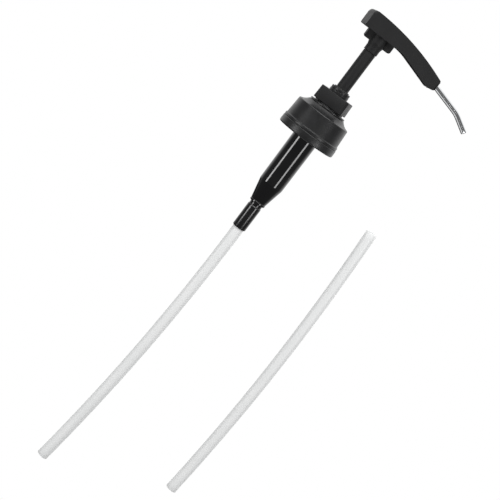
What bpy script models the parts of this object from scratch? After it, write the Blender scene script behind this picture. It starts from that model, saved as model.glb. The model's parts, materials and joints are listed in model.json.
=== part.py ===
"""A hand-operated fluid transfer pump that screws onto a wide-mouth container.

Pressing the handle pushes a piston down a barrel that hangs inside the container. The fluid
leaves through the hollow stem, the handle and a bent steel spout; a coil spring lifts the
piston again, and the barrel refills through a ball foot valve and a long dip tube. The cap
turns freely round the barrel's neck, and a spare length of the same tube comes with the pump.

The pump stands upright. The origin is on the pump's axis, in the plane where the container's
rim meets the gasket: +Z points up the stem, +X along the handle towards the spout.
Dimensions are in millimetres; MM turns them into Blender's metres when a mesh is made.
"""
import math

import bmesh
import bpy
from mathutils import Vector

MM = 0.001
GAP = 0.3            # clearance between neighbouring pieces
SIDES = 32           # sides of a turned piece
SIDES_SMALL = 20     # sides of a slim turned piece
SIDES_TINY = 12      # sides of pins, balls and drills

# Closure cap, its band and the gasket
CAP_TOP = 6.0        # outer edge of the cap's top
CAP_TOP_R = 31.2
BOSS_TOP = 11.66     # raised middle of the cap's top
FLARE_R = 15.3       # hollow curve from the middle down to the cap's edge
FLARE_CENTRE = (34.06, 21.08)
STEP_Z = -13.8       # the body widens here to the foot's bead
STEP_R = 32.5
BEAD_R = 33.5
PARTING_Z = -17.3    # the bead ends and the band begins
CAP_BOTTOM = -25.2
BAND_R = 34.0
BAND_BOTTOM = -26.0
SKIRT_R = 31.5
BORE_R = 29.3        # clears the thread of a 58 mm container neck
CEILING = 4.3        # underside of the cap's top
GASKET_THICK = 1.7
GASKET_R = 28.4
GASKET_HOLE_R = 22.0

# Barrel
BARREL_BORE_R = 12.7
BARREL_TOP_R = 14.6
BARREL_LOW_R = 14.0
NECK_R = 15.4
NECK_TOP = 23.7
STRAIGHT_END = -86.2
CONE_END = -108.6
CONE_END_R = 9.3
BARREL_END = -111.9
OUTLET_BORE_R = 7.3
BORE_CONE_END = -106.5

# Collar nut, thrust ring and guide bush
NUT_FLAT = 35.6      # across flats
NUT_CORNER = 2.9     # chamfer on the square's corners
NUT_DRAFT = 0.5
NUT_BOTTOM = 15.4
NUT_TOP = 30.4
NUT_TURN = -24.5     # degrees about Z
RING_R = 21.5
RING_BOTTOM = 12.0
RING_TOP = 13.7
RING_HUB_R = 17.4
RING_HUB_TOP = 15.1
BUSH_R = 11.4
BUSH_TOP = 36.9
BUSH_BOTTOM = 8.0
BUSH_FLANGE_R = 14.9
BUSH_NECK_R = 11.2   # the bush steps in a little near its top
BUSH_STEP_Z = 34.0
WIPER_TOP = 37.9     # the wiper stands a little above the bush
WIPER_POCKET_R = 9.9
WIPER_POCKET_Z = 33.0
NUT_LIP = 3.5        # the nut's lip, which holds the bush down

# Stem, piston and outlet valve
STEM_R = 7.15
STEM_BORE_R = 4.5
STEM_SHOULDER = 7.9
SPIGOT_R = 6.2
STEM_BOTTOM = -10.1
STEM_TOP_SHOULDER = 84.8
STEM_TOP = 102.5
STEM_TOP_R = 5.9
PISTON_TOP = 7.6
PISTON_BOTTOM = -9.8
PISTON_R = 12.2
SEAL_R = 12.6
OUTLET_BALL_R = 3.2
OUTLET_SEAT_BORE_R = 2.0
OUTLET_SEAT_RISE = 2.5   # top of the seat's bore, above its flange
SEAT_FLANGE_R = 8.2
STOP_PIN_Z = 2.0
STOP_PIN_R = 1.0
SEAL_GROOVE_R = 9.6
SEAL_GROOVE = 3.6        # height of the grooves for the cup seals

# Foot valve, spring and tubes
FOOT_TOP = -99.0
FOOT_NECK_R = 7.3
FOOT_NECK_LOW = -115.1
O_RING_Z = -110.5
O_RING_WIRE_R = 0.42
O_RING_GROOVE_R = 6.2
FOOT_R = 7.95
FOOT_BOTTOM = -144.4
INLET_BALL_R = 4.5
INLET_SEAT_BORE_R = 3.0
INLET_SEAT_Z = -107.5
INLET_SEAT_TOP_R = 5.3
CAGE_TOP = -91.0
CAGE_THICK = 1.6
CAGE_R = 11.0
CAGE_HOLE_R = 3.0
CAGE_HUB_R = 5.6
CAGE_HUB_BOTTOM = -97.4
CAGE_WINDOWS_R = 7.3  # the six windows stand on this circle
SPRING_R = 9.6       # to the middle of the wire
WIRE_R = 0.65
SPRING_TURNS = 10
TUBE_R = 6.5
TUBE_BORE_R = 5.0
TUBE_SIDES = 16
TUBE_BOW_R = 2400.0  # both tubes keep the curve of the coil that they were cut from
DIP_TUBE_TOP = -118.5
DIP_TUBE_LENGTH = 366.0
DIP_BOW_DEPTH = 26.0         # the bow's middle is this far below the dip tube's top
SPARE_TUBE_LENGTH = 374.0
SPARE_TUBE_TOP = -66.5
SPARE_TUBE_X = 130.0
SPARE_BOW_Z = -238.0

# Handle and spout
HANDLE_REAR = -24.6
HANDLE_TIP = 79.4
HANDLE_REAR_WIDTH = 25.0
HANDLE_TIP_WIDTH = 13.0
HANDLE_WALL = 1.8
HANDLE_CORNER = 4.0  # rounding of the top rear corner
CROWN_R = 300.0      # the top is one long arc
CROWN_X = -21.5
CROWN_Z = 122.7
UNDERSIDE = 104.3
SLOPE_START = 19.0   # the underside bends down from here
SLOPE_R = 60.0
SLOPE = math.radians(16.0)
TIP_FOOT = ((79.0, 94.2), (76.4, 92.9), (70.4, 92.0))  # the tip's lower corner, (x, height)
HOLLOW_END = 70.0    # the hollow stops short of the solid tip
SOCKET_R = 7.9
SOCKET_FLARE_R = 9.2
SOCKET_BOTTOM = 85.1
RIB_HALF = 3.6
RIB_BOTTOM = 94.9
RIB_REACH = 17.0
PORT_Z = 110.5
SPOUT_R = 3.175
SPOUT_BORE_R = 2.35
SPOUT_START = 4.4
SPOUT_ARC_START = 10.0
SPOUT_ARC_R = 175.0
SPOUT_SLOPE = math.radians(14.1)
SPOUT_BEND_X = 112.0
SPOUT_BEND_R = 36.0
SPOUT_END_SLOPE = math.radians(29.0)
SPOUT_END_X = 136.6
PORT_BOSS_R = 6.0
PORT_BOSS_END = 11.0
SPOUT_RING_POCKET = (8.2, 11.2, 4.4)   # from, to and radius of the O-ring's place in the port


def remove_all_objects():
    for thing in list(bpy.data.objects):
        bpy.data.objects.remove(thing, do_unlink=True)


def make_material(name, colour, roughness, metallic=0.0):
    material = bpy.data.materials.new(name)
    material.use_nodes = True
    shader = material.node_tree.nodes["Principled BSDF"]
    shader.inputs["Base Color"].default_value = (*colour, 1.0)
    shader.inputs["Roughness"].default_value = roughness
    shader.inputs["Metallic"].default_value = metallic
    material.diffuse_color = (*colour, 1.0)
    return material


def satin_black(name):
    return make_material(name, (0.022, 0.023, 0.025), 0.45)


def gloss_black(name):
    return make_material(name, (0.008, 0.008, 0.009), 0.15)


def white_plastic(name):
    return make_material(name, (0.75, 0.75, 0.72), 0.4)


def black_rubber(name):
    return make_material(name, (0.015, 0.015, 0.015), 0.7)


def bright_steel(name):
    return make_material(name, (0.72, 0.72, 0.73), 0.18, 1.0)


def milky_tube(name):
    return make_material(name, (0.85, 0.86, 0.85), 0.3)


def finish_object(name, bm, place, paint):
    """Makes the object of a closed mesh given in millimetres, with its origin at place."""
    bmesh.ops.recalc_face_normals(bm, faces=bm.faces)
    origin = Vector(place)
    for vertex in bm.verts:
        vertex.co = (vertex.co - origin) * MM
    mesh = bpy.data.meshes.new(name)
    bm.to_mesh(mesh)
    bm.free()
    mesh.shade_smooth()
    mesh.set_sharp_from_angle(angle=math.radians(35))
    thing = bpy.data.objects.new(name, mesh)
    thing.location = origin * MM
    bpy.context.scene.collection.objects.link(thing)
    if paint:
        mesh.materials.append(paint(name))
    else:
        thing.hide_render = True
        thing.display_type = "WIRE"
    return thing


def turned_mesh(outline, sides, axis="Z"):
    """A solid of revolution. outline is a closed loop of (radius, height) points."""
    bm = bmesh.new()
    rings = []
    for radius, height in outline:
        if radius == 0:
            rings.append([bm.verts.new(on_axis(0, 0, height, axis))] * sides)
            continue
        ring = []
        for step in range(sides):
            angle = 2 * math.pi * step / sides
            across, along = radius * math.cos(angle), radius * math.sin(angle)
            ring.append(bm.verts.new(on_axis(across, along, height, axis)))
        rings.append(ring)
    for ring, following in zip(rings, rings[1:] + rings[:1]):
        for step in range(sides):
            after = (step + 1) % sides
            corners = [ring[step], ring[after], following[after], following[step]]
            distinct = list(dict.fromkeys(corners))
            if len(distinct) > 2:
                bm.faces.new(distinct)
    return bm


def on_axis(across, along, height, axis):
    """Puts a turned point on the Z axis, or on one parallel to X."""
    return (across, along, height) if axis == "Z" else (height, across, along)


def turned(name, outline, paint, sides=SIDES):
    lowest = min(height for _, height in outline)
    return finish_object(name, turned_mesh(outline, sides), (0, 0, lowest), paint)


def arc(centre_r, centre_z, radius, start, end, steps):
    """Points of a rounded corner in an outline; angles in degrees, 0 points outwards."""
    points = []
    for step in range(steps + 1):
        angle = math.radians(start + (end - start) * step / steps)
        points.append((centre_r + radius * math.cos(angle), centre_z + radius * math.sin(angle)))
    return points


def washer(inner, outer, bottom, top):
    """The outline of a plain ring."""
    return [(inner, top), (outer, top), (outer, bottom), (inner, bottom)]


def rod(radius, bottom, top):
    """The outline of a plain round bar, also used for drills."""
    return [(0, top), (radius, top), (radius, bottom), (0, bottom)]


def swept(name, path, outer, inner, place, paint, sides):
    """A tube along a path in the XZ plane, cut square at both ends."""
    bm = bmesh.new()
    sleeves = {outer: [], inner: []}
    for index, point in enumerate(path):
        before = path[max(index - 1, 0)]
        after = path[min(index + 1, len(path) - 1)]
        heading = (after - before).normalized()
        side = heading.cross(Vector((0, 1, 0))).normalized()
        for radius, rings in sleeves.items():
            ring = []
            for step in range(sides):
                angle = 2 * math.pi * step / sides
                offset = side * math.cos(angle) + Vector((0, 1, 0)) * math.sin(angle)
                ring.append(bm.verts.new(point + offset * radius))
            rings.append(ring)
    outside, inside = sleeves[outer], sleeves[inner]
    loops = outside + inside[::-1]
    for ring, following in zip(loops, loops[1:] + loops[:1]):
        for step in range(sides):
            after = (step + 1) % sides
            bm.faces.new([ring[step], ring[after], following[after], following[step]])
    return finish_object(name, bm, place, paint)


def cut(target, tool, operation="DIFFERENCE"):
    """Cuts a tool out of a piece, or joins it on; the tool stays as a hidden guide."""
    modifier = target.modifiers.new(tool.name, "BOOLEAN")
    modifier.operation = operation
    modifier.object = tool
    modifier.solver = "EXACT"


def guide(name, bm):
    return finish_object(name, bm, (0, 0, 0), None)


# ---------------------------------------------------------------- closure

def make_closure_cap():
    outline = [(NECK_R + 0.5, CEILING), (NECK_R + 0.5, BOSS_TOP)]
    outline += arc(*FLARE_CENTRE, FLARE_R, 218, 253, 5)
    outline += arc(CAP_TOP_R - 1.5, CAP_TOP - 1.4, 1.5, 60, 0, 2)
    outline += [(STEP_R, STEP_Z), (BEAD_R, STEP_Z - 0.8), (BEAD_R, PARTING_Z)]
    outline += [(SKIRT_R, PARTING_Z), (SKIRT_R, CAP_BOTTOM)]
    outline += [(BORE_R + 0.5, CAP_BOTTOM), (BORE_R, CAP_BOTTOM + 1.5), (BORE_R, CEILING)]
    return turned("closure_cap", outline, satin_black)


def make_grip_band():
    top = PARTING_Z - GAP
    outline = [(SKIRT_R + GAP, top), (BAND_R - 0.6, top), (BAND_R - 0.15, top - 0.5)]
    outline += arc(BAND_R - 1.6, BAND_BOTTOM + 1.6, 1.6, 0, -90, 3)
    outline += [(SKIRT_R + GAP, BAND_BOTTOM)]
    return turned("grip_band", outline, satin_black)


def make_neck_gasket():
    outline = washer(GASKET_HOLE_R, GASKET_R, 0.0, GASKET_THICK)
    return turned("neck_gasket", outline, white_plastic)


# ---------------------------------------------------------------- barrel and its top

def make_pump_barrel():
    flange_bottom = GASKET_THICK + GAP
    flange_top = CEILING - GAP
    outline = [(BARREL_BORE_R, NECK_TOP), (NECK_R - 0.7, NECK_TOP), (NECK_R, NECK_TOP - 0.7)]
    outline += [(NECK_R, flange_top), (GASKET_R, flange_top), (GASKET_R, flange_bottom)]
    outline += [(BARREL_TOP_R, flange_bottom), (BARREL_LOW_R, STRAIGHT_END)]
    outline += [(CONE_END_R + 0.1, CONE_END), (CONE_END_R - 0.2, CONE_END - 0.5)]
    outline += [(CONE_END_R, CONE_END - 1.0), (CONE_END_R, BARREL_END + 0.9)]
    outline += [(CONE_END_R - 0.9, BARREL_END), (OUTLET_BORE_R, BARREL_END)]
    outline += [(OUTLET_BORE_R, BORE_CONE_END), (BARREL_BORE_R, STRAIGHT_END)]
    return turned("pump_barrel", outline, gloss_black)


def make_collar_nut():
    """A square nut with cut corners and a little draft, bored for the neck and the bush."""
    bm = bmesh.new()
    rings = []
    for height, half in ((NUT_BOTTOM, NUT_FLAT / 2), (NUT_TOP, NUT_FLAT / 2 - NUT_DRAFT)):
        inner = half - NUT_CORNER
        corners = [(half, inner), (inner, half), (-inner, half), (-half, inner)]
        corners += [(-x, -y) for x, y in corners]
        rings.append([bm.verts.new((x, y, height)) for x, y in corners])
    bottom, top = rings
    bm.faces.new(bottom)
    bm.faces.new(top)
    for index in range(len(bottom)):
        after = (index + 1) % len(bottom)
        bm.faces.new([bottom[index], bottom[after], top[after], top[index]])
    nut = finish_object("collar_nut", bm, (0, 0, NUT_BOTTOM), satin_black)
    nut.rotation_euler.z = math.radians(NUT_TURN)
    lip = NUT_TOP - NUT_LIP
    drill = [(0, NUT_TOP + 1), (BUSH_R + GAP, NUT_TOP + 1), (BUSH_R + GAP, lip), (NECK_R + GAP, lip)]
    drill += [(NECK_R + GAP, NUT_BOTTOM - 1), (0, NUT_BOTTOM - 1)]
    cut(nut, guide("nut_bore", turned_mesh(drill, SIDES)))
    return nut


def make_thrust_ring():
    hole = NECK_R + 0.5
    outline = [(hole, RING_HUB_TOP), (RING_HUB_R, RING_HUB_TOP), (RING_HUB_R, RING_TOP)]
    outline += [(RING_R - 0.4, RING_TOP), (RING_R, RING_TOP - 0.4)]
    outline += [(RING_R, RING_BOTTOM), (hole, RING_BOTTOM)]
    return turned("thrust_ring", outline, satin_black)


def make_guide_bush():
    hole = STEM_R + GAP
    flange_bottom, flange_top = NECK_TOP + GAP, NUT_TOP - NUT_LIP - GAP
    spigot = BARREL_BORE_R - GAP
    outline = [(WIPER_POCKET_R, BUSH_TOP), (BUSH_NECK_R - 0.4, BUSH_TOP)]
    outline += [(BUSH_NECK_R, BUSH_TOP - 0.5), (BUSH_NECK_R, BUSH_STEP_Z)]
    outline += [(BUSH_R, BUSH_STEP_Z - 0.3), (BUSH_R, flange_top)]
    outline += [(BUSH_FLANGE_R, flange_top), (BUSH_FLANGE_R, flange_bottom)]
    outline += [(spigot, flange_bottom), (spigot, BUSH_BOTTOM), (hole, BUSH_BOTTOM)]
    outline += [(hole, WIPER_POCKET_Z), (WIPER_POCKET_R, WIPER_POCKET_Z)]
    return turned("guide_bush", outline, satin_black)


def make_stem_wiper():
    inner, lip_r, outer = STEM_R + 0.15, 8.9, WIPER_POCKET_R - GAP
    bottom, shoulder = WIPER_POCKET_Z + GAP, BUSH_TOP - GAP
    outline = [(inner, WIPER_TOP), (lip_r - 0.6, WIPER_TOP), (lip_r, WIPER_TOP - 0.6)]
    outline += [(lip_r, shoulder), (outer, shoulder), (outer, bottom), (inner + 0.5, bottom)]
    return turned("stem_wiper", outline, black_rubber)


# ---------------------------------------------------------------- plunger

def make_piston():
    outline = [(SPIGOT_R + GAP, PISTON_TOP), (PISTON_R, PISTON_TOP)]
    for top in (PISTON_TOP - 1.6, PISTON_BOTTOM + 1.8 + SEAL_GROOVE):
        low = top - SEAL_GROOVE
        outline += [(PISTON_R, top), (SEAL_GROOVE_R, top), (SEAL_GROOVE_R, low), (PISTON_R, low)]
    outline += [(PISTON_R, PISTON_BOTTOM), (SPIGOT_R + GAP, PISTON_BOTTOM)]
    return turned("piston", outline, white_plastic)


def make_cup_seal(name, top, lip_up):
    """A U-shaped seal: two lips with a groove between them, facing up or down."""
    inner, height = SEAL_GROOVE_R + GAP, SEAL_GROOVE - 2 * GAP
    profile = [(inner, 0), (inner + 0.8, 0), (inner + 1.35, 1.4), (SEAL_R - 0.8, 0)]
    profile += [(SEAL_R, 0), (SEAL_R - 0.3, height), (inner, height)]
    if lip_up:
        outline = [(r, top - depth) for r, depth in profile]
    else:
        outline = [(r, top - height + depth) for r, depth in profile]
    return turned(name, outline, black_rubber)


def make_stem():
    outline = [(STEM_BORE_R, STEM_TOP), (STEM_TOP_R, STEM_TOP), (STEM_TOP_R, STEM_TOP_SHOULDER)]
    outline += [(STEM_R, STEM_TOP_SHOULDER), (STEM_R, STEM_SHOULDER), (SPIGOT_R, STEM_SHOULDER)]
    outline += [(SPIGOT_R, STEM_BOTTOM), (STEM_BORE_R, STEM_BOTTOM)]
    stem = turned("stem", outline, satin_black, SIDES_SMALL)
    drill = turned_mesh(rod(STOP_PIN_R + GAP, -STEM_R, STEM_R), SIDES_TINY, "X")
    for vertex in drill.verts:
        vertex.co.z += STOP_PIN_Z
    cut(stem, guide("pin_hole", drill))
    return stem


def make_ball_stop_pin():
    bm = turned_mesh(rod(STOP_PIN_R, -SPIGOT_R + 0.1, SPIGOT_R - 0.1), SIDES_TINY, "X")
    for vertex in bm.verts:
        vertex.co.z += STOP_PIN_Z
    return finish_object("ball_stop_pin", bm, (0, 0, STOP_PIN_Z), bright_steel)


def make_discharge_seat():
    bore, flange_top, flange_r = OUTLET_SEAT_BORE_R, STEM_BOTTOM - GAP, SEAT_FLANGE_R
    bottom, seat, cone = flange_top - 2.5, flange_top + OUTLET_SEAT_RISE, 1.4
    top, plug_r = seat + cone, STEM_BORE_R - GAP
    outline = [(bore + cone, top), (plug_r, top), (plug_r, flange_top), (flange_r, flange_top)]
    outline += [(flange_r, bottom + 0.5), (flange_r - 0.5, bottom), (bore, bottom), (bore, seat)]
    return turned("discharge_seat", outline, white_plastic, SIDES_SMALL)


def ball_centre(bore_r, bore_top, ball_r):
    """Height of a ball that rests in a 45 degree seat, held off it by the usual gap."""
    return bore_top - bore_r + (ball_r + GAP) * math.sqrt(2)


def make_ball(name, radius, centre):
    bm = bmesh.new()
    bmesh.ops.create_uvsphere(bm, u_segments=SIDES_TINY, v_segments=8, radius=radius)
    for vertex in bm.verts:
        vertex.co.z += centre
    return finish_object(name, bm, (0, 0, centre), bright_steel)


# ---------------------------------------------------------------- foot valve, spring, tubes

def make_foot_valve_body():
    neck_top, spigot = BARREL_END - GAP, OUTLET_BORE_R - GAP
    groove_top, groove_low = O_RING_Z + 0.9, O_RING_Z - 0.9
    tube_bore = TUBE_R + GAP - 0.1
    outline = [(INLET_SEAT_TOP_R, FOOT_TOP), (spigot, FOOT_TOP), (spigot, groove_top)]
    outline += [(O_RING_GROOVE_R, groove_top), (O_RING_GROOVE_R, groove_low), (spigot, groove_low)]
    outline += [(FOOT_NECK_R, neck_top), (FOOT_NECK_R, FOOT_NECK_LOW)]
    outline += [(FOOT_R, FOOT_NECK_LOW - 0.6), (FOOT_R - 0.1, FOOT_BOTTOM + 0.7)]
    outline += [(FOOT_R - 0.6, FOOT_BOTTOM), (tube_bore, FOOT_BOTTOM)]
    outline += [(tube_bore, DIP_TUBE_TOP + GAP), (INLET_SEAT_BORE_R, DIP_TUBE_TOP + GAP)]
    rise = INLET_SEAT_TOP_R - INLET_SEAT_BORE_R
    outline += [(INLET_SEAT_BORE_R, INLET_SEAT_Z), (INLET_SEAT_TOP_R, INLET_SEAT_Z + rise)]
    return turned("foot_valve_body", outline, gloss_black, SIDES_SMALL)


def make_foot_valve_o_ring():
    outline = arc(OUTLET_BORE_R - 0.62, O_RING_Z, O_RING_WIRE_R, 0, 300, 5)
    return turned("foot_valve_o_ring", outline, black_rubber, SIDES_SMALL)


def make_ball_cage():
    low = CAGE_TOP - CAGE_THICK
    outline = [(CAGE_HOLE_R, CAGE_TOP), (CAGE_R, CAGE_TOP), (CAGE_R - 0.4, low)]
    outline += [(CAGE_HUB_R, low), (CAGE_HUB_R, CAGE_HUB_BOTTOM), (CAGE_HOLE_R, CAGE_HUB_BOTTOM)]
    cage = turned("ball_cage", outline, white_plastic, SIDES_SMALL)
    windows = bmesh.new()
    for index in range(6):
        angle = math.radians(60 * index)
        window = turned_mesh(rod(1.25, low - 0.5, CAGE_TOP + 0.5), 8)
        for vertex in window.verts:
            vertex.co += CAGE_WINDOWS_R * Vector((math.cos(angle), math.sin(angle), 0))
        piece = bpy.data.meshes.new("window")
        window.to_mesh(piece)
        window.free()
        windows.from_mesh(piece)
        bpy.data.meshes.remove(piece)
    cut(cage, guide("cage_windows", windows))
    return cage


def spring_point(angle, bottom, top):
    """A point on the wire's centre line: closed end turns and an even pitch between."""
    share = angle / (2 * math.pi * (SPRING_TURNS + 2))
    turns = share * (SPRING_TURNS + 2)
    dead = 2 * WIRE_R + 0.15
    if turns < 1:
        height = bottom + WIRE_R + dead * turns
    elif turns > SPRING_TURNS + 1:
        height = top - WIRE_R - dead * (SPRING_TURNS + 2 - turns)
    else:
        low, high = bottom + WIRE_R + dead, top - WIRE_R - dead
        height = low + (high - low) * (turns - 1) / SPRING_TURNS
    return Vector((SPRING_R * math.cos(angle), SPRING_R * math.sin(angle), height))


def make_return_spring():
    bottom, top = CAGE_TOP + GAP, PISTON_BOTTOM - GAP
    per_turn, wire_sides = 12, 5
    steps = (SPRING_TURNS + 2) * per_turn
    bm = bmesh.new()
    rings = []
    for step in range(steps + 1):
        angle = 2 * math.pi * step / per_turn
        point = spring_point(angle, bottom, top)
        outward = Vector((math.cos(angle), math.sin(angle), 0))
        ring = []
        for side in range(wire_sides):
            turn = 2 * math.pi * side / wire_sides
            offset = outward * math.cos(turn) + Vector((0, 0, 1)) * math.sin(turn)
            ring.append(bm.verts.new(point + offset * WIRE_R))
        rings.append(ring)
    for ring, following in zip(rings, rings[1:]):
        for side in range(wire_sides):
            after = (side + 1) % wire_sides
            bm.faces.new([ring[side], ring[after], following[after], following[side]])
    bm.faces.new(rings[0])
    bm.faces.new(rings[-1])
    return finish_object("return_spring", bm, (0, 0, bottom), bright_steel)


def bowed_path(x, top, vertex_z, length, steps):
    """The centre line of a tube with one steady bow, which is furthest towards +X at vertex_z."""
    points = []
    for step in range(steps + 1):
        angle = (vertex_z - top + length * step / steps) / TUBE_BOW_R
        shift = TUBE_BOW_R * (1 - math.cos(angle))
        points.append(Vector((x - shift, 0, vertex_z - TUBE_BOW_R * math.sin(angle))))
    return points


def make_dip_tube():
    path = bowed_path(0, DIP_TUBE_TOP, DIP_TUBE_TOP - DIP_BOW_DEPTH, DIP_TUBE_LENGTH, 9)
    path[0].x = 0
    return swept("dip_tube", path, TUBE_R, TUBE_BORE_R, (0, 0, DIP_TUBE_TOP), milky_tube, TUBE_SIDES)


def make_extension_tube():
    path = bowed_path(SPARE_TUBE_X, SPARE_TUBE_TOP, SPARE_BOW_Z, SPARE_TUBE_LENGTH, 9)
    return swept("extension_tube", path, TUBE_R, TUBE_BORE_R, path[0], milky_tube, TUBE_SIDES)


# ---------------------------------------------------------------- handle and spout

def crown_height(x):
    """Height of the handle's top: one long arc."""
    return CROWN_Z - CROWN_R + math.sqrt(CROWN_R ** 2 - (x - CROWN_X) ** 2)


def rim_height(x):
    """Height of the handle's lower rim: flat, a short arc, then a straight slope."""
    along = x - SLOPE_START
    bend_end = SLOPE_R * math.sin(SLOPE)
    if along <= 0:
        return UNDERSIDE
    if along < bend_end:
        return UNDERSIDE - SLOPE_R + math.sqrt(SLOPE_R ** 2 - along ** 2)
    drop = SLOPE_R * (1 - math.cos(SLOPE))
    return UNDERSIDE - drop - (along - bend_end) * math.tan(SLOPE)


def handle_half_width(x, wall=0.0):
    share = (x - HANDLE_REAR) / (HANDLE_TIP - HANDLE_REAR)
    width = HANDLE_REAR_WIDTH + (HANDLE_TIP_WIDTH - HANDLE_REAR_WIDTH) * share
    return width / 2 - wall


def handle_slab(outline, half_width):
    """Two side faces joined round their outline. Each side tapers with half_width(x)."""
    bm = bmesh.new()
    near, far = [], []
    for x, z in outline:
        near.append(bm.verts.new((x, -half_width(x), z)))
        far.append(bm.verts.new((x, half_width(x), z)))
    bm.faces.new(near)
    bm.faces.new(far)
    for index in range(len(outline)):
        after = (index + 1) % len(outline)
        bm.faces.new([near[index], near[after], far[after], far[index]])
    return bm


def handle_outline():
    """Side view of the handle, from the rear's lower corner over the top to the tip and back."""
    corner = HANDLE_CORNER
    rear_top = crown_height(HANDLE_REAR + corner)
    outline = [(HANDLE_REAR, UNDERSIDE)]
    for step in range(5):
        angle = math.radians(180 - 22.5 * step)
        x = HANDLE_REAR + corner + corner * math.cos(angle)
        outline.append((x, rear_top - corner + corner * math.sin(angle)))
    crown_end = HANDLE_TIP - 2.4
    steps = 10
    for step in range(1, steps + 1):
        x = HANDLE_REAR + corner + (crown_end - HANDLE_REAR - corner) * step / steps
        outline.append((x, crown_height(x)))
    tip_top = crown_height(HANDLE_TIP)
    outline += [(HANDLE_TIP - 0.7, tip_top + 0.1), (HANDLE_TIP, tip_top - 1.6)]
    outline += TIP_FOOT
    bend_end = SLOPE_START + SLOPE_R * math.sin(SLOPE)
    for step in range(5):
        x = bend_end + (SLOPE_START - bend_end) * step / 4
        outline.append((x, rim_height(x)))
    return outline


def make_handle_body():
    bm = handle_slab(handle_outline(), handle_half_width)
    upper = []
    for edge in bm.edges:
        first, second = edge.verts
        same_side = first.co.y * second.co.y > 0
        middle = (first.co + second.co) / 2
        above_rim = middle.z > rim_height(middle.x) + 1.0
        vertical_rear = abs(first.co.x - HANDLE_REAR) < 0.01 and abs(second.co.x - HANDLE_REAR) < 0.01
        if same_side and above_rim and (middle.z > 112 or middle.x > 20 or vertical_rear):
            upper.append(edge)
    bmesh.ops.bevel(bm, geom=upper, offset=1.6, segments=2, profile=0.5, affect="EDGES")
    return bm


def handle_hollow():
    """The space under the handle's roof, open below."""
    rear, front = HANDLE_REAR + HANDLE_WALL, HOLLOW_END
    outline = [(rear, UNDERSIDE - 20), (rear, UNDERSIDE + 12)]
    outline.append((rear + 3, crown_height(rear + 3) - HANDLE_WALL))
    steps = 8
    for step in range(1, steps + 1):
        x = rear + 3 + (front - rear - 3) * step / steps
        outline.append((x, crown_height(x) - HANDLE_WALL))
    outline.append((front, UNDERSIDE - 20))
    return handle_slab(outline, lambda x: handle_half_width(x, HANDLE_WALL))


def handle_socket():
    """The round socket for the stem, flared where it meets the ribs, up into the roof."""
    top = 119.0
    outline = [(0, top), (SOCKET_FLARE_R, top), (SOCKET_FLARE_R, 96.0)]
    outline += [(SOCKET_FLARE_R - 0.7, 93.4), (SOCKET_R, 90.2)]
    outline += [(SOCKET_R, SOCKET_BOTTOM), (0, SOCKET_BOTTOM)]
    bm = turned_mesh(outline, SIDES_SMALL)
    for vertex in bm.verts:
        if vertex.co.z == top:
            vertex.co.z = crown_height(vertex.co.x) - HANDLE_WALL / 2
    return bm


def handle_ribs():
    """One web along the handle on both sides of the socket; its lower corners are cut off."""
    chamfer, rear = 1.6, -RIB_REACH + 0.5
    outline = [(rear, RIB_BOTTOM + chamfer)]
    for x in (rear, -6.0, 6.0, RIB_REACH):
        outline.append((x, crown_height(x) - HANDLE_WALL / 2))
    outline += [(RIB_REACH, RIB_BOTTOM + chamfer), (RIB_REACH - chamfer, RIB_BOTTOM)]
    outline.append((rear + chamfer, RIB_BOTTOM))
    return handle_slab(outline, lambda x: RIB_HALF)


def handle_port():
    """The boss that carries the spout's inner end."""
    bm = turned_mesh(rod(PORT_BOSS_R, 0.5, PORT_BOSS_END), SIDES_SMALL, "X")
    for vertex in bm.verts:
        vertex.co.z += PORT_Z
    return bm


def port_drill():
    pocket_start, pocket_end, pocket_r = SPOUT_RING_POCKET
    passage = SPOUT_R + 0.5
    outline = [(0, RIB_REACH + 1), (passage, RIB_REACH + 1), (passage, pocket_end)]
    outline += [(pocket_r, pocket_end), (pocket_r, pocket_start)]
    outline += [(SPOUT_R + GAP, pocket_start), (SPOUT_R + GAP, 0), (0, 0)]
    bm = turned_mesh(outline, SIDES_SMALL, "X")
    for vertex in bm.verts:
        vertex.co.z += PORT_Z
    return bm


def tip_drill():
    """The slanted hole in the tip for the spout, drilled from the hollow to the open air."""
    bm = turned_mesh(rod(SPOUT_R + GAP, -14, 8), SIDES_SMALL, "X")
    mouth = HANDLE_TIP + 0.8
    for vertex in bm.verts:
        x, z = vertex.co.x, vertex.co.z
        vertex.co.x = mouth + x * math.cos(SPOUT_SLOPE) + z * math.sin(SPOUT_SLOPE)
        vertex.co.z = spout_height(mouth) - x * math.sin(SPOUT_SLOPE) + z * math.cos(SPOUT_SLOPE)
    return bm


def make_handle_shell():
    shell = finish_object("handle_shell", make_handle_body(), (0, 0, UNDERSIDE), satin_black)
    cut(shell, guide("handle_hollow", handle_hollow()))
    for name, bm in (("socket", handle_socket()), ("ribs", handle_ribs()), ("port", handle_port())):
        cut(shell, guide("handle_" + name, bm), "UNION")
    chamber_r, seat_r = 4.0, STEM_TOP_R + GAP
    bore = [(0, PORT_Z + 4), (chamber_r, PORT_Z + 4), (chamber_r, STEM_TOP + GAP)]
    bore += [(seat_r, STEM_TOP + GAP), (seat_r, SOCKET_BOTTOM - 1), (0, SOCKET_BOTTOM - 1)]
    cut(shell, guide("socket_bore", turned_mesh(bore, SIDES_SMALL)))
    cut(shell, guide("port_bore", port_drill()))
    cut(shell, guide("tip_bore", tip_drill()))
    return shell


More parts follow.
